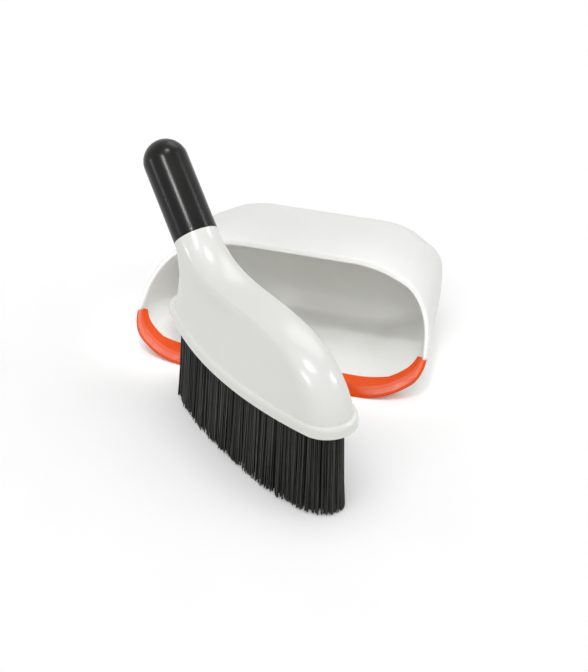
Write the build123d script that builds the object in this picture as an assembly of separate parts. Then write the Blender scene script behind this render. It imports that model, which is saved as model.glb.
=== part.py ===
from build123d import *
import math
import os

os.makedirs("parts", exist_ok=True)

# Dust pan. X is its width, its mouth faces -Y, its floor lies on Z = 0. Millimetres.
pan_half_width = 107.0        # outside, where the lip ends
pan_taper = 0.158             # half-width lost for each mm towards the back
pan_height = 72.0             # outside, floor to hood
pan_wall = 3.6
mouth_angle = 48.0            # slope of the mouth, and of the back wall behind it
mouth_y = -68.0               # the mouth meets the floor here
pan_depth = 95.0              # mouth to back wall, along the floor
back_radius = 16.0            # rounding where the back wall meets the rest
rim_chamfer = 1.0
sole_trim = 0.5               # taken off under the floor to leave a flat sole
side_least = 1.0              # straight height that the corners leave in a side wall
form_over = 25.0              # how far the scoop's form runs on past the mouth and the back
# The scoop's corners as quarter ovals: reach, height and tight radius at the lip and at the hood's
# front edge, and how much each grows for each mm towards the back.
corner_low_a, corner_low_v, corner_low_r = 50.0, 28.0, 20.0
corner_top_a, corner_top_v, corner_top_r = 60.0, 35.0, 30.0
low_growth, top_growth = 0.06, -0.11

# Rubber lip along the mouth's lower edge
lip_end_z = 25.6
lip_height = 9.0
lip_side = 4.4
lip_back_y = 15.0             # depth of the lip behind the front edge
lip_cap = 3.5                 # how far its ends reach behind the rim
# Rounding of the lip as quarter ovals: how far each draws in at the floor and at the sides, and its depth
nose_up, nose_side, nose_deep = 3.0, 1.8, 3.4
crest_down, crest_side, crest_deep = 4.0, 1.9, 4.6
round_steps = 4               # bands in each rounding
tongue_length, tongue_thick = 6.0, 1.5
window_wide, window_long = 8.0, 3.0   # windows in the tongue that the rubber fills
window_count = 6
zone_clear, zone_under = 40.0, 5.0    # how far the lip's zone reaches past the pan, and under it
room_corner_less = 1.0        # the room's corners stand this much lower than the scoop's
cut_over = 1.0                # how far a cutting or joining body runs past the face it meets

# Brush, built along X with its heel at +X, then turned and set in front of the pan
brush_x = 22.7
brush_ahead = 75.0            # brush centre ahead of the mouth's floor line
brush_heading = 140.6         # toe to heel, degrees from +X
flange_half_length = 99.5
flange_half_width = 30.7
flange_height = 7.3
flange_top_radius = 2.4
flange_low_chamfer = 0.5
bristle_length = 61.5         # free length, floor to flange
oval_round = 0.62             # end radius of the oval over its half-width
pocket_inset, pocket_depth = 5.0, 2.0
slice_clearance = 0.1
hollow_half_length, hollow_half_width, hollow_height = 76.0, 17.5, 12.0
plug_height, plug_wall = 3.6, 2.2
plug_clearance = 0.2

# Handle: neck circle and grip
neck_along = 0.806            # of the flange's half-length
neck_above = 48.9             # above the flange top
crown_rise = 40.0             # crown of the body above the flange top
grip_radius = 15.0
grip_length = 69.4
grip_edge = 0.5               # chamfer at the grip's mouth
handle_angle = 44.5           # above the floor
tang_radius = 8.9
tang_root = 5.0               # how far the tang starts inside the body
tang_chamfer = 1.0
sleeve_clearance = 0.1
tang_end_gap = 13.0           # tang end to grip tip

# Bristles and their anchors
strand_pitch = 4.2
strand_radius = 1.3           # corners of the three-sided strands
strand_bite = 0.6             # root inside the backing
field_inset = 8.6
flare_along, flare_across = 1.03, 1.12
bristle_lean = 3.3            # tips set towards the heel
row_groups = [(-5, -4), (-3, -2), (-1, 1), (2, 3), (4, 5)]
row_count = 10.5              # rows of strands across the field
field_power, field_edge = 2.25, 1.03  # squareness of the field's outline, and its overlap at the sides
anchor_pitch = 10.5
anchor_inset_along, anchor_inset_across = 6.0, 3.0   # inside the strands' field
anchor_depth, anchor_play = 3.2, 0.1
anchor_wide, anchor_high, anchor_thick = 3.0, 1.8, 0.4

slope = math.tan(math.radians(mouth_angle))
lean = math.sin(math.radians(mouth_angle))
mouth_normal = Vector(0, lean, -math.cos(math.radians(mouth_angle)))
lip_end_y = mouth_y + lip_end_z / slope
back_y = mouth_y + pan_depth
hood_y = mouth_y + pan_height / slope
form_ends = [mouth_y - form_over, back_y + pan_height / slope + form_over]
flange_top = bristle_length + flange_height


def corner(a, v, r):
    """Two tangent arcs that stand in for a quarter of an oval: its join point and middles."""
    big = (a * a + v * v - 2 * a * r) / (2 * (v - r))
    turn = math.atan2(big - v, a - r)
    join = (a - r + r * math.cos(turn), r * math.sin(turn))
    small_mid = (a - r + r * math.cos(turn / 2), r * math.sin(turn / 2))
    half = (turn + math.pi / 2) / 2
    big_mid = (big * math.cos(half), big * math.sin(half) - (big - v))
    return join, small_mid, big_mid


def pan_section(y, inset, low, side, low_v, top):
    """Outline of the scoop at depth y, drawn in by an inset. Its wall's height limits its corners."""
    w = pan_half_width - pan_taper * (y - lip_end_y) - side
    low_more = low_growth * (y - lip_end_y)
    top_more = top_growth * (y - hood_y)
    la, lv, lr = corner_low_a + 2 * low_more - side, low_v + low_more - inset, corner_low_r + low_more - inset
    ta, tv, tr = [c + g * top_more - inset for c, g in
                  ((corner_top_a, 2), (corner_top_v, 1), (corner_top_r, 1))]
    room = (top - low - side_least) / (lv + tv)
    if room < 1:
        lv, lr, tv, tr = lv * room, lr * room, tv * room, tr * room
    p = lambda x, z: Vector(x, y, z)
    lj, ls, lb = corner(la, lv, lr)
    tj, ts, tb = corner(ta, tv, tr)
    edges = []
    for s in (1, -1):
        lx, lz = w - la, low + lv
        tx, tz = w - ta, top - tv
        run = [
            Edge.make_three_point_arc(p(s * lx, low), p(s * (lx + lb[0]), lz - lb[1]),
                                      p(s * (lx + lj[0]), lz - lj[1])),
            Edge.make_three_point_arc(p(s * (lx + lj[0]), lz - lj[1]),
                                      p(s * (lx + ls[0]), lz - ls[1]), p(s * w, lz)),
            Edge.make_line(p(s * w, lz), p(s * w, tz)),
            Edge.make_three_point_arc(p(s * w, tz), p(s * (tx + ts[0]), tz + ts[1]),
                                      p(s * (tx + tj[0]), tz + tj[1])),
            Edge.make_three_point_arc(p(s * (tx + tj[0]), tz + tj[1]),
                                      p(s * (tx + tb[0]), tz + tb[1]), p(s * tx, top)),
        ]
        edges += run
    edges.append(Edge.make_line(p(w - la, low), p(-(w - la), low)))
    edges.append(Edge.make_line(p(w - ta, top), p(-(w - ta), top)))
    return Wire.combine(edges)[0]


def pan_form(inset, low):
    """The scoop's form, drawn in by an inset all round, with its floor at height low."""
    return Solid.make_loft([pan_section(y, inset, low, inset, corner_low_v, pan_height - inset)
                            for y in form_ends], True)


def room_form(low, side):
    """The space over the lip: its floor at height low, its sides drawn in, its top well clear."""
    return Solid.make_loft([pan_section(y, 0.0, low, side, corner_low_v - room_corner_less,
                                        pan_height + lip_end_z)
                            for y in form_ends], True)


def slant(y):
    """Plane parallel to the mouth, meeting the floor at y."""
    return Plane(origin=(0, y, 0), x_dir=(1, 0, 0), z_dir=mouth_normal)


def behind(shape, y):
    return split(shape, bisect_by=slant(y), keep=Keep.TOP)


def ahead(shape, y):
    return split(shape, bisect_by=slant(y), keep=Keep.BOTTOM)


def last_face(shape, way):
    return shape.faces().sort_by(lambda f: f.center().dot(way))[-1]


def scoop(inset, low, radius):
    """The scoop's outside, or its inside when drawn in, closed and rounded at the back."""
    body = ahead(pan_form(inset, low), back_y - inset / lean)
    return fillet(last_face(body, mouth_normal).edges(), radius)


def block(x0, x1, y0, y1, z0, z1):
    return Pos((x0 + x1) / 2, (y0 + y1) / 2, (z0 + z1) / 2) * Box(x1 - x0, y1 - y0, z1 - z0)


def lip_zone():
    """Space the lip takes at the mouth: deep at the front, a short cap up the sides."""
    reach = pan_half_width + zone_clear
    start = mouth_y - zone_clear
    front = block(-reach, reach, start, mouth_y + lip_back_y, -zone_under, lip_end_z)
    cap = ahead(block(-reach, reach, start, lip_end_y + zone_clear, -zone_under, lip_end_z),
                mouth_y + lip_cap)
    return front + cap


def lip_tongue():
    """Thin front edge of the pan floor, with windows the rubber fills."""
    half = pan_half_width - corner_low_a
    y1 = mouth_y + lip_back_y
    z = pan_wall / 2
    strip = block(-half, half, y1 - tongue_length, y1 + cut_over, z - tongue_thick / 2, z + tongue_thick / 2)
    pitch = 2 * half / window_count
    for i in range(window_count):
        x = -half + pitch * (i + 0.5)
        strip -= Pos(x, y1 - tongue_length / 2, z) * Box(window_wide, window_long, 4 * tongue_thick)
    return strip


def quarter_round():
    """Steps of a quarter-round of size 1: how far it is drawn in, and how deep."""
    turns = [math.radians(90) * i / round_steps for i in range(round_steps + 1)]
    return [(1 - math.sin(t), 1 - math.cos(t)) for t in turns]


def round_front(deep, form):
    """A form that meets the mouth in a quarter-round: bands through its drawn-in outlines, then itself."""
    outlines = []
    for draw, depth in quarter_round():
        body = behind(form(draw), mouth_y + deep * depth / lean)
        outlines.append(last_face(body, -mouth_normal).outer_wire())
    return Solid.make_loft(outlines, True) + body


def make_pan():
    outer = split(scoop(0.0, -sole_trim, back_radius), bisect_by=Plane.XY, keep=Keep.TOP)
    inner = scoop(pan_wall, pan_wall, back_radius - pan_wall)
    shell = behind(outer - inner, mouth_y)
    rim = last_face(shell, -mouth_normal)
    shell = chamfer(rim.edges(), rim_chamfer)
    tongue = lip_tongue()
    shell = shell - lip_zone() + tongue
    nose = round_front(nose_deep, lambda part: pan_form(nose_side * part, nose_up * part - sole_trim))
    room = round_front(crest_deep, lambda part: room_form(lip_height - crest_down * part,
                                                          lip_side - crest_side * part))
    lip = split(nose & lip_zone(), bisect_by=Plane.XY, keep=Keep.TOP) - room - tongue
    return shell, lip


def oval(toe, heel, half_width, round_part):
    """Four-arc oval across the brush, from its toe point to its heel point (along, up)."""
    along = Vector(heel[0] - toe[0], 0, heel[1] - toe[1])
    a = along.length / 2
    x_dir = along.normalized()
    plane = Plane(origin=((toe[0] + heel[0]) / 2, 0, (toe[1] + heel[1]) / 2), x_dir=x_dir,
                  z_dir=(-x_dir.Z, 0, x_dir.X))
    p = lambda x, y: plane.from_local_coords(Vector(x, y, 0))
    b = half_width
    jx, jy = corner(a, b, round_part * b)[0] if b < a else (a * neck_join[0], a * neck_join[1])
    return Wire.combine([
        Edge.make_three_point_arc(p(jx, -jy), p(a, 0), p(jx, jy)),
        Edge.make_three_point_arc(p(jx, jy), p(0, b), p(-jx, jy)),
        Edge.make_three_point_arc(p(-jx, jy), p(-a, 0), p(-jx, -jy)),
        Edge.make_three_point_arc(p(-jx, -jy), p(0, -b), p(jx, -jy)),
    ])[0]


def slab(half_length, half_width, z0, z1):
    wire = oval((-half_length, z0), (half_length, z0), half_width, oval_round)
    return extrude(Face(wire), amount=z1 - z0, dir=(0, 0, 1))


# Brush body, base to neck: toe (along, up), heel (along, up), half-width, roundness.
# Along is in half-lengths of the flange, up in rises of the crown above the flange top, half-width in
# the flange's half-widths.
neck_join = (math.cos(math.radians(76)), math.sin(math.radians(76)))
body_ovals = [
    (-0.963, 0.0, 0.950, 0.0, 0.905, 0.62),
    (-0.878, 0.43, 0.925, 0.1425, 0.730, 0.70),
    (-0.731, 0.7175, 0.911, 0.33, 0.606, 0.78),
    (-0.176, 0.955, 0.901, 0.53, 0.508, 0.86),
    (0.376, 1.0, 0.901, 0.75, 0.495, 0.93),
]


def neck_frame():
    rise = math.radians(handle_angle)
    way = Vector(math.cos(rise), 0, math.sin(rise))
    centre = Vector(neck_along * flange_half_length, 0, flange_top + neck_above)
    across = Vector(math.sin(rise), 0, -math.cos(rise))
    return centre, way, across


def make_shell():
    centre, way, across = neck_frame()
    low, high = centre + across * grip_radius, centre - across * grip_radius
    neck = oval((high.X, high.Z), (low.X, low.Z), grip_radius, 1.0)
    a, up = flange_half_length, crown_rise
    rings = [oval((tx * a, flange_top + tz * up), (hx * a, flange_top + hz * up), b * flange_half_width, k)
             for tx, tz, hx, hz, b, k in body_ovals]
    body = Solid.make_loft(rings + [neck])
    body -= slab(hollow_half_length, hollow_half_width, flange_top - cut_over, flange_top + hollow_height)
    tang_length = grip_length - tang_end_gap
    at = Plane(origin=centre - way * tang_root, x_dir=(0, 1, 0), z_dir=way)
    tang = extrude(at * Circle(tang_radius), amount=tang_length + tang_root)
    tang = chamfer(last_face(tang, way).edges(), tang_chamfer)
    return body + tang


def make_grip():
    centre, way, across = neck_frame()
    at = Plane(origin=centre, x_dir=across, z_dir=across.cross(way))
    q = lambda along, radius: at.from_local_coords(Vector(radius, along, 0))
    dome = grip_length - grip_radius
    mid = grip_radius * math.sin(math.radians(45))
    bore = grip_length - tang_end_gap + sleeve_clearance
    bore_r = tang_radius + sleeve_clearance
    edges = [
        Edge.make_line(q(0, bore_r), q(0, grip_radius - grip_edge)),
        Edge.make_line(q(0, grip_radius - grip_edge), q(grip_edge, grip_radius)),
        Edge.make_line(q(grip_edge, grip_radius), q(dome, grip_radius)),
        Edge.make_three_point_arc(q(dome, grip_radius), q(dome + mid, mid), q(grip_length, 0)),
        Edge.make_line(q(grip_length, 0), q(bore, 0)),
        Edge.make_line(q(bore, 0), q(bore, bore_r)),
        Edge.make_line(q(bore, bore_r), q(0, bore_r)),
    ]
    return revolve(Face(Wire.combine(edges)[0]), Axis(centre, way), 360)


def anchor_points():
    """Where the tufts are anchored in the brush block."""
    a = flange_half_length - field_inset - anchor_inset_along
    b = flange_half_width - field_inset - anchor_inset_across
    rows = int(b // anchor_pitch) + 1
    points = []
    for j in range(-rows, rows + 1):
        y = j * anchor_pitch
        if abs(y) > b:
            continue
        reach = a * math.sqrt(1 - (y / b) ** 2) if b > 0 else a
        count = int(2 * reach // anchor_pitch)
        for i in range(count + 1):
            points.append(((i - count / 2) * anchor_pitch, y))
    return points


def make_base():
    a, b = flange_half_length, flange_half_width
    rings = [(flange_low_chamfer, bristle_length), (0.0, bristle_length + flange_low_chamfer)]
    rings += [(flange_top_radius * draw, flange_top - flange_top_radius * depth)
              for draw, depth in reversed(quarter_round())]
    base = Solid.make_loft([oval((inset - a, z), (a - inset, z), b - inset, oval_round)
                            for inset, z in rings], True)
    base -= slab(a - pocket_inset, b - pocket_inset, bristle_length - cut_over,
                 bristle_length + pocket_depth)
    slot = Box(anchor_wide + 2 * anchor_play, anchor_thick + 2 * anchor_play, anchor_depth + cut_over)
    z = bristle_length + pocket_depth + (anchor_depth - cut_over) / 2
    base -= [Pos(x, y, z) * slot for x, y in anchor_points()]
    hl, hw = hollow_half_length - plug_clearance, hollow_half_width - plug_clearance
    plug = slab(hl, hw, flange_top - cut_over, flange_top + plug_height)
    plug -= slab(hl - plug_wall, hw - plug_wall, flange_top, flange_top + plug_height + cut_over)
    return base + plug


def strand(x, y):
    """One three-sided strand, from inside its backing slanting down to the floor."""
    top = bristle_length + strand_bite
    turns = [math.radians(a) for a in (0, 120, 240)]
    root = Wire.make_polygon([Vector(x + strand_radius * math.cos(t), y + strand_radius * math.sin(t), top)
                              for t in turns])
    tip = Vector(x * (flare_along - 1) + bristle_lean, y * (flare_across - 1), -top)
    return Solid.extrude(Face(root), tip)


def strand_places(j):
    a, b = flange_half_length - field_inset, flange_half_width - field_inset
    y = j * 2 * b / row_count
    reach = a * (1 - (abs(y) / (b * field_edge)) ** field_power) ** (1 / field_power)
    shift = 0.5 if j % 2 else 0.0
    n = int(reach / strand_pitch) + 1
    return [((i + shift) * strand_pitch, y) for i in range(-n, n + 1)
            if abs((i + shift) * strand_pitch) <= reach]


def make_row(first, last):
    """A strip of the brush block's under-face with the strands rooted in it."""
    a, b = flange_half_length, flange_half_width
    row = 2 * (b - field_inset) / row_count
    gap = pocket_inset + slice_clearance
    z0, z1 = bristle_length, bristle_length + pocket_depth
    strip = slab(a - gap, b - gap, z0, z1)
    y0 = -b if (first, last) == row_groups[0] else (first - 0.5) * row
    y1 = b if (first, last) == row_groups[-1] else (last + 0.5) * row
    strip = strip & block(-a, a, y0, y1, z0 - cut_over, z1 + cut_over)
    strands = [strand(x, y) for j in range(first, last + 1) for x, y in strand_places(j)]
    return strip + strands


def make_anchors():
    """Flat wire staples at the bottom of the tuft holes."""
    z = bristle_length + pocket_depth + anchor_depth - anchor_high / 2
    return Compound([Pos(x, y, z) * Box(anchor_wide, anchor_thick, anchor_high)
                     for x, y in anchor_points()])


def set_brush(shape):
    return Pos(brush_x, mouth_y - brush_ahead, 0) * Rot(0, 0, brush_heading) * shape


pan_shell, pan_lip = make_pan()
nodes = {"pan_shell": pan_shell, "pan_lip": pan_lip}
brush = {"brush_shell": make_shell(), "brush_base": make_base(), "grip": make_grip(),
         "tuft_anchors": make_anchors()}
for i, (first, last) in enumerate(row_groups):
    brush["bristles_row_%d" % (i + 1)] = make_row(first, last)
nodes.update({name: set_brush(shape) for name, shape in brush.items()})

for name, shape in nodes.items():
    export_step(shape, "parts/%s.step" % name)
    box = shape.bounding_box()
    print(name, len(shape.solids()), "solid", round(shape.volume / 1000, 2), "cm3",
          [round(v, 1) for v in (*box.min, *box.max)])
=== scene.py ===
import math

import bmesh
import bpy
from mathutils import Matrix, Vector


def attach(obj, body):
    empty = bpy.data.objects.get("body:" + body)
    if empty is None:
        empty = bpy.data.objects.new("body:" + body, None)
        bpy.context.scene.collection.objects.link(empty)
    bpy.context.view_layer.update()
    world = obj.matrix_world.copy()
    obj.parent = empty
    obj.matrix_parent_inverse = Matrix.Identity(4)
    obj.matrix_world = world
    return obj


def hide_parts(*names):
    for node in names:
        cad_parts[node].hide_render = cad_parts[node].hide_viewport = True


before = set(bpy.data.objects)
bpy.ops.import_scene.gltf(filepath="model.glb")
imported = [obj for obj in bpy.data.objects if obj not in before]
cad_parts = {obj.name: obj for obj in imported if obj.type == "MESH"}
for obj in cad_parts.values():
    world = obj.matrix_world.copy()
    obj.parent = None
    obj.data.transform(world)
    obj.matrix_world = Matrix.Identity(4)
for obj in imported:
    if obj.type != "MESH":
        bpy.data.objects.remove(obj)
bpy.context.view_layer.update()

scene = bpy.context.scene
scene.view_settings.view_transform = "Standard"
print("frame loaded:", len(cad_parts), "nodes")


def linear(hexColour):  # sRGB to linear, with alpha
    channels = [int(hexColour[i:i + 2], 16) / 255 for i in (1, 3, 5)]
    bent = [c / 12.92 if c <= 0.04045 else ((c + 0.055) / 1.055) ** 2.4 for c in channels]
    return (*bent, 1.0)


def metres(millimetres):
    return millimetres / 1000


def perMetre(millimetres):  # texture scale for a feature of this size
    return 1000.0 / millimetres


def addNode(tree, kind, inputs=None, **settings):
    node = tree.nodes.new(kind)
    for key, value in settings.items():
        setattr(node, key, value)
    for socket, source in (inputs or {}).items():
        if isinstance(source, bpy.types.NodeSocket):
            tree.links.new(source, node.inputs[socket])
        else:
            node.inputs[socket].default_value = source
    return node


def newMaterial(name, **constants):  # principled shader with the plain numbers set on its own sockets
    material = bpy.data.materials.new(name)
    material.use_nodes = True
    shader = material.node_tree.nodes["Principled BSDF"]
    for socket, value in constants.items():
        shader.inputs[socket.replace("_", " ")].default_value = value
    return material, material.node_tree, shader


wholeSpan = (0.0, 1.0)
noiseSpan = (0.3, 0.7)  # where most of a noise's values lie
noiseMiddle = 0.5
grainDetail = 3.0


def mottle(tree, coords, size, span, detail=2.0):  # noise of a real size, mapped to a span
    noise = addNode(tree, "ShaderNodeTexNoise",
                    {"Vector": coords, "Scale": perMetre(size), "Detail": detail})
    inputs = {"Value": noise.outputs["Fac"], "From Min": noiseSpan[0], "From Max": noiseSpan[1],
              "To Min": span[0], "To Max": span[1]}
    return addNode(tree, "ShaderNodeMapRange", inputs).outputs["Result"]


mixFactor, mixFirst, mixSecond, mixResult = 0, 6, 7, 2  # colour sockets of a Mix node


def blendColours(tree, factor, first, second):
    inputs = {mixFactor: factor, mixFirst: linear(first), mixSecond: linear(second)}
    return addNode(tree, "ShaderNodeMix", inputs, data_type="RGBA").outputs[mixResult]


def mouldedSkin(tree, shader, p):  # faint patches of tone and of gloss, and a shallow grain
    coords = addNode(tree, "ShaderNodeTexCoord").outputs["Object"]
    tone = mottle(tree, coords, p["tonePatch"], wholeSpan, p["toneDetail"])
    tree.links.new(blendColours(tree, tone, *p["colours"]), shader.inputs["Base Color"])
    gloss = mottle(tree, coords, p["glossPatch"], p["roughness"], p["glossDetail"])
    tree.links.new(gloss, shader.inputs["Roughness"])
    noise = addNode(tree, "ShaderNodeTexNoise",
                    {"Vector": coords, "Scale": perMetre(p["grain"]), "Detail": grainDetail})
    bump = addNode(tree, "ShaderNodeBump",
                   {"Height": noise.outputs["Fac"], "Strength": p["grainStrength"],
                    "Distance": metres(p["grainDepth"])})
    tree.links.new(bump.outputs["Normal"], shader.inputs["Normal"])


# Patches, grain and depths of the materials are in millimetres.

# Moulded polypropylene: the pan. A waxy, even white with a fine spark-eroded grain that spreads its gloss.
# The real grain is about 0.1 mm, drawn at 1.4 mm so that it shows.
panPlastic = {"colours": ("#f0f1ee", "#edeeea"), "tonePatch": 34.0, "toneDetail": 3.0,
              "roughness": (0.40, 0.50), "glossPatch": 9.0, "glossDetail": 2.0,
              "grain": 1.4, "grainStrength": 0.10, "grainDepth": 0.03, "ior": 1.49,
              "scatter": 0.8, "scatterColour": (1.0, 1.0, 0.97), "scatterDepth": 6.0}


def makePanPlastic(p):
    material, tree, shader = newMaterial(
        "mouldedPolypropylene", IOR=p["ior"], Subsurface_Weight=p["scatter"],
        Subsurface_Radius=p["scatterColour"], Subsurface_Scale=metres(p["scatterDepth"]))
    mouldedSkin(tree, shader, p)
    return material


# Polished ABS: the brush body. Nearly the same white, from a smooth tool, so lamps show as soft spots.
# The skin is not quite flat: its grain is slow ripples 14 mm long where the plastic shrank.
brushPlastic = {"colours": ("#ebece7", "#e8e9e3"), "tonePatch": 40.0, "toneDetail": 3.0,
                "roughness": (0.20, 0.26), "glossPatch": 3.0, "glossDetail": 4.0,
                "grain": 14.0, "grainStrength": 0.05, "grainDepth": 0.25, "ior": 1.53}


def makeBrushPlastic(p):
    material, tree, shader = newMaterial("polishedAbs", IOR=p["ior"])
    mouldedSkin(tree, shader, p)
    return material


# Orange thermoplastic rubber: the lip. Saturated, with a soft broad sheen and faint flow marks.
lipRubber = {"colours": ("#e44802", "#eb5406"), "tonePatch": 12.0, "toneDetail": 3.0,
             "roughness": (0.40, 0.48), "glossPatch": 4.0, "glossDetail": 2.0,
             "grain": 1.1, "grainStrength": 0.12, "grainDepth": 0.03, "ior": 1.5, "specular": 0.2}

# Black thermoplastic rubber: the grip. Satin, slightly greyed by handling, with a fine leathery grain.
gripRubber = {"colours": ("#0a0a09", "#11110f"), "tonePatch": 18.0, "toneDetail": 4.0,
              "roughness": (0.24, 0.28), "glossPatch": 16.0, "glossDetail": 2.0,
              "grain": 0.8, "grainStrength": 0.05, "grainDepth": 0.02, "ior": 1.5, "specular": 0.22}


def makeRubber(name, p):
    material, tree, shader = newMaterial(name, IOR=p["ior"], Specular_IOR_Level=p["specular"])
    mouldedSkin(tree, shader, p)
    return material


# Nylon filament: the bristles. Near black with a dull shine, each strand a little lighter or darker.
bristleNylon = {"colours": ("#121211", "#383835"), "roughness": (0.36, 0.52), "glossPatch": 6.0,
                "ior": 1.53}


def makeBristleNylon(p):
    material, tree, shader = newMaterial("nylonFilament", IOR=p["ior"])
    coords = addNode(tree, "ShaderNodeTexCoord").outputs["Object"]
    tone = addNode(tree, "ShaderNodeAttribute", attribute_name="strandTone").outputs["Fac"]
    tree.links.new(blendColours(tree, tone, *p["colours"]), shader.inputs["Base Color"])
    gloss = mottle(tree, coords, p["glossPatch"], p["roughness"])
    tree.links.new(gloss, shader.inputs["Roughness"])
    return material


# Drawn steel wire: the tuft anchors inside the block. Grey, with a fine uneven shine.
anchorWire = {"colours": ("#a9a6a0", "#c4c1bb"), "tonePatch": 1.0, "roughness": (0.28, 0.42),
              "glossPatch": 0.6, "metal": 1.0}


def makeAnchorWire(p):
    material, tree, shader = newMaterial("drawnSteelWire", Metallic=p["metal"])
    coords = addNode(tree, "ShaderNodeTexCoord").outputs["Object"]
    tone = mottle(tree, coords, p["tonePatch"], wholeSpan)
    tree.links.new(blendColours(tree, tone, *p["colours"]), shader.inputs["Base Color"])
    gloss = mottle(tree, coords, p["glossPatch"], p["roughness"])
    tree.links.new(gloss, shader.inputs["Roughness"])
    return material


panMaterial = makePanPlastic(panPlastic)
brushMaterial = makeBrushPlastic(brushPlastic)
finishes = {
    "pan_shell": panMaterial,
    "pan_lip": makeRubber("orangeThermoplasticRubber", lipRubber),
    "brush_shell": brushMaterial,
    "brush_base": brushMaterial,
    "grip": makeRubber("blackThermoplasticRubber", gripRubber),
    "tuft_anchors": makeAnchorWire(anchorWire),
}
for name, material in finishes.items():
    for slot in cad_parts[name].material_slots:
        slot.material = material
print("materials on", len(finishes), "nodes")

# Where the brush stands: its middle, the way from toe to heel, and its flange (millimetres and degrees)
brushPlace = {"x": 22.7, "y": -143.0, "heading": 140.6, "halfLength": 99.5, "halfWidth": 30.7,
              "under": 61.5}


def brushMatrix(p):
    turn = Matrix.Rotation(math.radians(p["heading"]), 4, "Z")
    return Matrix.Translation((metres(p["x"]), metres(p["y"]), 0)) @ turn


def finishPiece(name, mesh, body, material, place):
    mesh.transform(place)
    if not mesh.materials:
        mesh.materials.append(material)
    piece = bpy.data.objects.new(name, mesh)
    scene.collection.objects.link(piece)
    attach(piece, body)
    return piece


# Bristle field: fine strands over the whole oval, which bend in clumps and flare towards the floor.
# Sizes are in millimetres. clumpTone and clumpTrim are the shares that neighbours have in common.
bristleField = {"inset": 8.2, "power": 2.25, "steps": 96, "count": 8600, "seed": 7,
                "width": 0.72, "sides": 3, "lengths": 3, "rootSink": 0.3,
                "flareAlong": 0.03, "flareAcross": 0.115, "lean": 3.3, "bendPower": 2.0,
                "clump": 9.0, "clumpDetail": 1.0, "clumpSway": 3.4, "sway": 0.8, "trim": 2.2,
                "clumpTone": 0.55, "clumpTrim": 0.6}
seedSteps = {"sway": (1.0, 2.0), "trim": 3.0, "tone": 4.0, "turn": 5.0}
randomLow, randomHigh, randomResult = 2, 3, 1  # float sockets of a Random Value node
treeInputs = ["Density", "Strand Width", "Strand Length", "Flare Along", "Flare Across", "Lean",
              "Clump Scale", "Clump Sway", "Sway", "Trim"]


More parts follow.
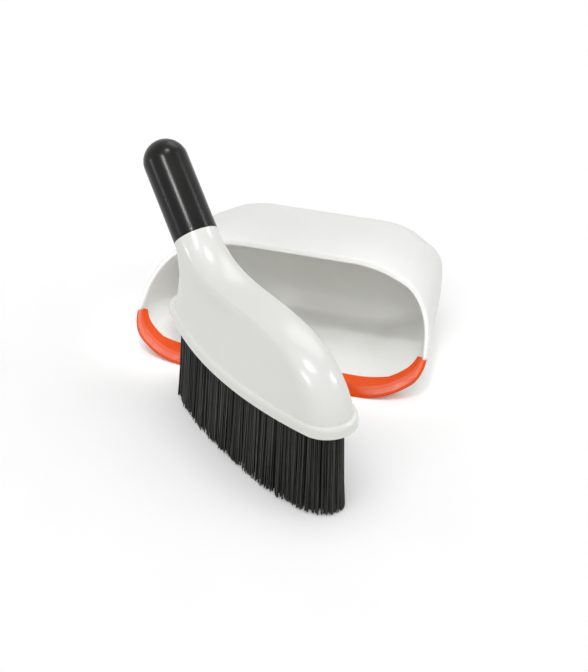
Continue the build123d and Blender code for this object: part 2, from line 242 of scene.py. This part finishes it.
def bristleTree(p, material):
    tree = bpy.data.node_groups.new("bristleField", "GeometryNodeTree")
    for way in ("INPUT", "OUTPUT"):
        tree.interface.new_socket(name="Geometry", in_out=way, socket_type="NodeSocketGeometry")
    kinds = {**dict.fromkeys(treeInputs, "NodeSocketFloat"), "Seed": "NodeSocketInt"}
    ids = {}
    for name, kind in kinds.items():
        ids[name] = tree.interface.new_socket(name=name, in_out="INPUT", socket_type=kind).identifier
    given = addNode(tree, "NodeGroupInput").outputs

    def calc(operation, *values):
        return addNode(tree, "ShaderNodeMath", dict(enumerate(values)), operation=operation).outputs[0]

    def vector(x, y, z):
        return addNode(tree, "ShaderNodeCombineXYZ", {0: x, 1: y, 2: z}).outputs[0]

    def split(source):
        return addNode(tree, "ShaderNodeSeparateXYZ", {0: source}).outputs

    def position():
        return addNode(tree, "GeometryNodeInputPosition").outputs[0]

    def chance(low, high, seedStep):
        seed = calc("ADD", given["Seed"], seedStep)
        inputs = {randomLow: low, randomHigh: high, "Seed": seed}
        return addNode(tree, "FunctionNodeRandomValue", inputs, data_type="FLOAT").outputs[randomResult]

    def shared(clumpValue, share, seedStep):  # partly the clump's value, partly the strand's own
        return calc("ADD", calc("MULTIPLY", clumpValue, share), chance(0.0, 1.0 - share, seedStep))

    def stored(name):
        kept = addNode(tree, "GeometryNodeInputNamedAttribute", {"Name": name}, data_type="FLOAT_VECTOR")
        return split(kept.outputs[0])

    # roots over the face, each with its own sway, trim and tone
    points = addNode(tree, "GeometryNodeDistributePointsOnFaces",
                     {"Mesh": given["Geometry"], "Density": given["Density"],
                      "Seed": given["Seed"]}).outputs["Points"]
    clumps = addNode(tree, "ShaderNodeTexNoise",
                     {"Vector": position(), "Scale": given["Clump Scale"], "Detail": p["clumpDetail"]})
    drift = split(clumps.outputs["Color"])
    moves = []
    for axis, seedStep in enumerate(seedSteps["sway"]):
        together = calc("MULTIPLY", calc("SUBTRACT", drift[axis], noiseMiddle), given["Clump Sway"])
        alone = calc("MULTIPLY", chance(-1.0, 1.0, seedStep), given["Sway"])
        moves.append(calc("ADD", together, alone))
    tone = shared(drift[1], p["clumpTone"], seedSteps["tone"])
    short = calc("MULTIPLY", shared(drift[2], p["clumpTrim"], seedSteps["trim"]), given["Trim"])
    for name, kind, value in (("strandRoot", "FLOAT_VECTOR", position()), ("strandTone", "FLOAT", tone),
                              ("strandSway", "FLOAT_VECTOR", vector(moves[0], moves[1], short))):
        points = addNode(tree, "GeometryNodeStoreNamedAttribute",
                         {"Geometry": points, "Name": name, "Value": value},
                         data_type=kind, domain="POINT").outputs[0]

    # one strand: a thin prism in a few lengths, hanging from its root
    end = vector(0.0, 0.0, calc("MULTIPLY", given["Strand Length"], -1.0))
    line = addNode(tree, "GeometryNodeCurvePrimitiveLine",
                   {"Start": (0.0, 0.0, 0.0), "End": end}).outputs[0]
    line = addNode(tree, "GeometryNodeResampleCurve",
                   {"Curve": line, "Count": p["lengths"] + 1}).outputs[0]
    radius = calc("MULTIPLY", given["Strand Width"], 0.5)
    ring = addNode(tree, "GeometryNodeCurvePrimitiveCircle",
                   {"Resolution": p["sides"], "Radius": radius}).outputs[0]
    strand = addNode(tree, "GeometryNodeCurveToMesh",
                     {"Curve": line, "Profile Curve": ring, "Fill Caps": True}).outputs[0]
    turn = vector(0.0, 0.0, chance(0.0, 2 * math.pi, seedSteps["turn"]))
    cloud = addNode(tree, "GeometryNodeInstanceOnPoints",
                    {"Points": points, "Instance": strand, "Rotation": turn}).outputs[0]
    cloud = addNode(tree, "GeometryNodeRealizeInstances", {"Geometry": cloud}).outputs[0]

    # flare of the whole field, straight down the strand, and its own sway, bending more near the tip
    root, sway = stored("strandRoot"), stored("strandSway")
    height = calc("SUBTRACT", root[2], split(position())[2])
    down = calc("DIVIDE", height, given["Strand Length"])
    bend = calc("POWER", down, p["bendPower"])
    along = calc("ADD", calc("MULTIPLY", root[0], given["Flare Along"]), given["Lean"])
    across = calc("MULTIPLY", root[1], given["Flare Across"])
    offset = vector(calc("ADD", calc("MULTIPLY", along, down), calc("MULTIPLY", sway[0], bend)),
                    calc("ADD", calc("MULTIPLY", across, down), calc("MULTIPLY", sway[1], bend)),
                    calc("MULTIPLY", sway[2], down))
    cloud = addNode(tree, "GeometryNodeSetPosition", {"Geometry": cloud, "Offset": offset}).outputs[0]
    cloud = addNode(tree, "GeometryNodeSetShadeSmooth", {0: cloud}).outputs[0]
    cloud = addNode(tree, "GeometryNodeSetMaterial", {"Geometry": cloud, "Material": material}).outputs[0]
    addNode(tree, "NodeGroupOutput", {0: cloud})
    return tree, ids


def fieldOutline(p, brush):  # a full oval, blunter than an ellipse
    a, b = brush["halfLength"] - p["inset"], brush["halfWidth"] - p["inset"]
    top = metres(brush["under"] + p["rootSink"])

    def bow(value):
        return math.copysign(abs(value) ** (2 / p["power"]), value)

    turns = [2 * math.pi * i / p["steps"] for i in range(p["steps"])]
    return [(metres(a * bow(math.cos(t))), metres(b * bow(math.sin(t))), top) for t in turns]


def makeBristles(p, brush, material):
    field = fieldOutline(p, brush)
    mesh = bpy.data.meshes.new("bristleField")
    mesh.from_pydata(field, [], [list(range(len(field)))])
    holder = bpy.data.objects.new("bristleField", mesh)
    scene.collection.objects.link(holder)
    tree, ids = bristleTree(p, material)
    modifier = holder.modifiers.new("bristleField", "NODES")
    modifier.node_group = tree
    values = {"Density": p["count"] / mesh.polygons[0].area, "Strand Width": metres(p["width"]),
              "Strand Length": metres(brush["under"] + p["rootSink"]),
              "Flare Along": p["flareAlong"], "Flare Across": p["flareAcross"],
              "Lean": metres(p["lean"]), "Clump Scale": perMetre(p["clump"]),
              "Clump Sway": metres(p["clumpSway"]), "Sway": metres(p["sway"]),
              "Trim": metres(p["trim"]), "Seed": p["seed"]}
    for name, value in values.items():
        modifier[ids[name]] = value
    made = bpy.data.meshes.new_from_object(holder.evaluated_get(bpy.context.evaluated_depsgraph_get()))
    bpy.data.objects.remove(holder)
    made.name = "bristles"
    return made


nylon = makeBristleNylon(bristleNylon)
bristleMesh = makeBristles(bristleField, brushPlace, nylon)
bristles = finishPiece("bristles", bristleMesh, "brush", nylon, brushMatrix(brushPlace))
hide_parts(*["bristles_row_%d" % i for i in range(1, 6)])
print("bristles:", len(bristleMesh.polygons), "faces")

# Under-face of the brush block between the tufts (millimetres). round is the radius of the end arcs
# as a share of the half width, and edges that turn by more than sharpTurn radians are bevelled.
blockFace = {"inset": 5.1, "depth": 2.0, "round": 0.62, "steps": 24,
             "bevel": 0.3, "bevelSegments": 2, "bevelProfile": 0.5, "sharpTurn": 1.0}


def ovalOutline(a, b, share, steps):  # small arcs at the ends, big ones along the sides
    small = share * b
    big = (a * a + b * b - 2 * a * small) / (2 * (b - small))
    turn = math.atan2(big - b, a - small)
    span = math.pi / 2 - turn
    quarter = []
    for i in range(steps):
        angle = turn * i / steps
        quarter.append((a - small + small * math.cos(angle), small * math.sin(angle)))
    for i in range(steps):
        angle = turn + span * i / steps
        quarter.append((big * math.cos(angle), big * math.sin(angle) - (big - b)))
    top = quarter + [(0.0, b)] + [(-x, y) for x, y in reversed(quarter)]
    return top + [(x, -y) for x, y in reversed(top[1:-1])]


def makeBlockFace(p, brush):
    a, b = brush["halfLength"] - p["inset"], brush["halfWidth"] - p["inset"]
    under = metres(brush["under"])
    shape = bmesh.new()
    low = [shape.verts.new((metres(x), metres(y), under))
           for x, y in ovalOutline(a, b, p["round"], p["steps"])]
    raised = bmesh.ops.extrude_face_region(shape, geom=[shape.faces.new(low)])["geom"]
    bmesh.ops.translate(shape, verts=[v for v in raised if isinstance(v, bmesh.types.BMVert)],
                        vec=(0, 0, metres(p["depth"])))
    bmesh.ops.recalc_face_normals(shape, faces=shape.faces)
    sharp = [e for e in shape.edges if e.calc_face_angle(0) > p["sharpTurn"]]
    bmesh.ops.bevel(shape, geom=sharp, offset=metres(p["bevel"]), segments=p["bevelSegments"],
                    profile=p["bevelProfile"], affect="EDGES")
    mesh = bpy.data.meshes.new("blockFace")
    shape.to_mesh(mesh)
    shape.free()
    return mesh


finishPiece("blockUnderface", makeBlockFace(blockFace, brushPlace), "brush",
            brushMaterial, brushMatrix(brushPlace))
print("block under-face done")

# Studio: white paper floor and even sky. Where they are seen, straight or in a highlight, the floor is
# lifted a little and the sky is full white. What the sky lights gets its lower strength.
studio = {"floorSize": 8.0, "floorColours": ("#fbfbfb", "#fdfdfd"), "floorPatch": 60.0,
          "floorRoughness": 0.9, "floorIor": 1.2, "floorLift": 0.13, "sky": 0.449, "skySeen": 1.0}
white = (1, 1, 1, 1)


def seenRays(tree):  # 1 for rays from the camera, in a highlight or through something clear
    path = addNode(tree, "ShaderNodeLightPath").outputs
    seen = path["Is Camera Ray"]
    for ray in ("Is Glossy Ray", "Is Transmission Ray"):
        seen = addNode(tree, "ShaderNodeMath", {0: seen, 1: path[ray]}, operation="MAXIMUM").outputs[0]
    return seen


def makeFloor(p):
    half = p["floorSize"] / 2
    corners = [(-half, -half, 0), (half, -half, 0), (half, half, 0), (-half, half, 0)]
    mesh = bpy.data.meshes.new("floor")
    mesh.from_pydata(corners, [], [(0, 1, 2, 3)])
    floor = bpy.data.objects.new("floor", mesh)
    scene.collection.objects.link(floor)
    material, tree, shader = newMaterial("paperFloor", Roughness=p["floorRoughness"],
                                         IOR=p["floorIor"], Emission_Color=white)
    coords = addNode(tree, "ShaderNodeTexCoord").outputs["Object"]
    tone = mottle(tree, coords, p["floorPatch"], wholeSpan)
    tree.links.new(blendColours(tree, tone, *p["floorColours"]), shader.inputs["Base Color"])
    lift = addNode(tree, "ShaderNodeMath", {0: seenRays(tree), 1: p["floorLift"]}, operation="MULTIPLY")
    tree.links.new(lift.outputs[0], shader.inputs["Emission Strength"])
    mesh.materials.append(material)


def makeSky(p):
    world = bpy.data.worlds.new("studioSky")
    world.use_nodes = True
    scene.world = world
    tree = world.node_tree
    strength = addNode(tree, "ShaderNodeMapRange",
                       {"Value": seenRays(tree), "To Min": p["sky"], "To Max": p["skySeen"]})
    sky = tree.nodes["Background"]
    sky.inputs["Color"].default_value = white
    tree.links.new(strength.outputs["Result"], sky.inputs["Strength"])


makeFloor(studio)
makeSky(studio)


def addLamp(name, kind, source, **settings):  # source points from what is lit towards the lamp
    light = bpy.data.lights.new(name, kind)
    for key, value in settings.items():
        setattr(light, key, value)
    lamp = bpy.data.objects.new(name, light)
    lamp.rotation_euler = Vector(source).to_track_quat("Z", "Y").to_euler()
    scene.collection.objects.link(lamp)
    return lamp


# Soft suns that light the whole set and show in no highlight: where each comes from, and its strength
sunAngle = 50.0
suns = [
    {"name": "topSun", "from": (0.0, -0.05, 1.0), "strength": 0.677},
    {"name": "frontSun", "from": (0.0, -0.8, 1.0), "strength": 0.658},
    {"name": "rightSun", "from": (1.0, 0.05, 0.8), "strength": 0.349},
]
for sun in suns:
    lamp = addLamp(sun["name"], "SUN", sun["from"], energy=sun["strength"], angle=math.radians(sunAngle))
    lamp.visible_glossy = False

# Softboxes that only show as highlights, aimed at the brush: place, width, height (metres), power (watts)
boxAim = Vector((0.01, -0.13, 0.08))
softboxes = [
    {"name": "rightBox", "at": (0.86, 0.32, 0.85), "wide": 0.18, "high": 0.18, "watts": 2.2},
    {"name": "topBox", "at": (0.13, -0.18, 1.42), "wide": 0.30, "high": 0.22, "watts": 5.5},
    {"name": "backBox", "at": (0.08, 0.86, 1.14), "wide": 0.80, "high": 0.70, "watts": 3.6},
]
for box in softboxes:
    lamp = addLamp(box["name"], "AREA", Vector(box["at"]) - boxAim, shape="RECTANGLE",
                   size=box["wide"], size_y=box["high"], energy=box["watts"])
    lamp.location = box["at"]
    lamp.visible_diffuse = False

# Narrow lamps: aim, place and radius (metres), cone (degrees) and power (watts). Two light the pan's
# mouth from overhead. The sheen ones only show as highlights, on the lip and the grip.
snootBlend = 1.0
snoots = [
    {"name": "snootRight", "aim": (0.055, -0.028, 0.004), "at": (0.085, -0.33, 1.20),
     "cone": 7.0, "radius": 0.03, "watts": 14.4, "sheen": False},
    {"name": "snootLeft", "aim": (-0.072, -0.030, 0.004), "at": (-0.06, -0.33, 1.20),
     "cone": 7.0, "radius": 0.03, "watts": 16.5, "sheen": False},
    {"name": "lipSnootRight", "aim": (0.090, -0.055, 0.010), "at": (-0.245, -0.871, 1.096),
     "cone": 6.0, "radius": 0.05, "watts": 115.0, "sheen": True},
    {"name": "lipSnootLeft", "aim": (-0.094, -0.056, 0.011), "at": (-0.598, -0.836, 1.057),
     "cone": 6.0, "radius": 0.05, "watts": 115.0, "sheen": True},
    {"name": "gripSnoot", "aim": (-0.055, -0.088, 0.152), "at": (-0.129, -0.947, 1.19),
     "cone": 6.5, "radius": 0.05, "watts": 34.0, "sheen": True},
    {"name": "gripSnootLeft", "aim": (-0.062, -0.082, 0.163), "at": (-1.10, -0.60, 0.30),
     "cone": 7.5, "radius": 0.10, "watts": 16.0, "sheen": True},
]
for snoot in snoots:
    lamp = addLamp(snoot["name"], "SPOT", Vector(snoot["at"]) - Vector(snoot["aim"]),
                   energy=snoot["watts"], shadow_soft_size=snoot["radius"],
                   spot_size=math.radians(snoot["cone"]), spot_blend=snootBlend)
    lamp.location = snoot["at"]
    lamp.visible_diffuse = not snoot["sheen"]
    lamp.visible_glossy = snoot["sheen"]
print("studio lit")

# Camera: matched to the photograph (degrees and metres; lens and sensor in millimetres)
cameraPlace = {"target": (-0.0034, -0.0014, 0.0), "azimuth": 19.31, "elevation": 30.0,
               "distance": 1.25, "lens": 92.75, "sensor": 36.0}


def makeCamera(p):
    turn, rise = math.radians(p["azimuth"]), math.radians(p["elevation"])
    back = Vector((math.sin(turn) * math.cos(rise), -math.cos(turn) * math.cos(rise), math.sin(rise)))
    data = bpy.data.cameras.new("camera")
    data.lens = p["lens"]
    data.sensor_width = p["sensor"]
    camera = bpy.data.objects.new("camera", data)
    camera.location = Vector(p["target"]) + back * p["distance"]
    camera.rotation_euler = back.to_track_quat("Z", "Y").to_euler()
    scene.collection.objects.link(camera)
    scene.camera = camera


makeCamera(cameraPlace)
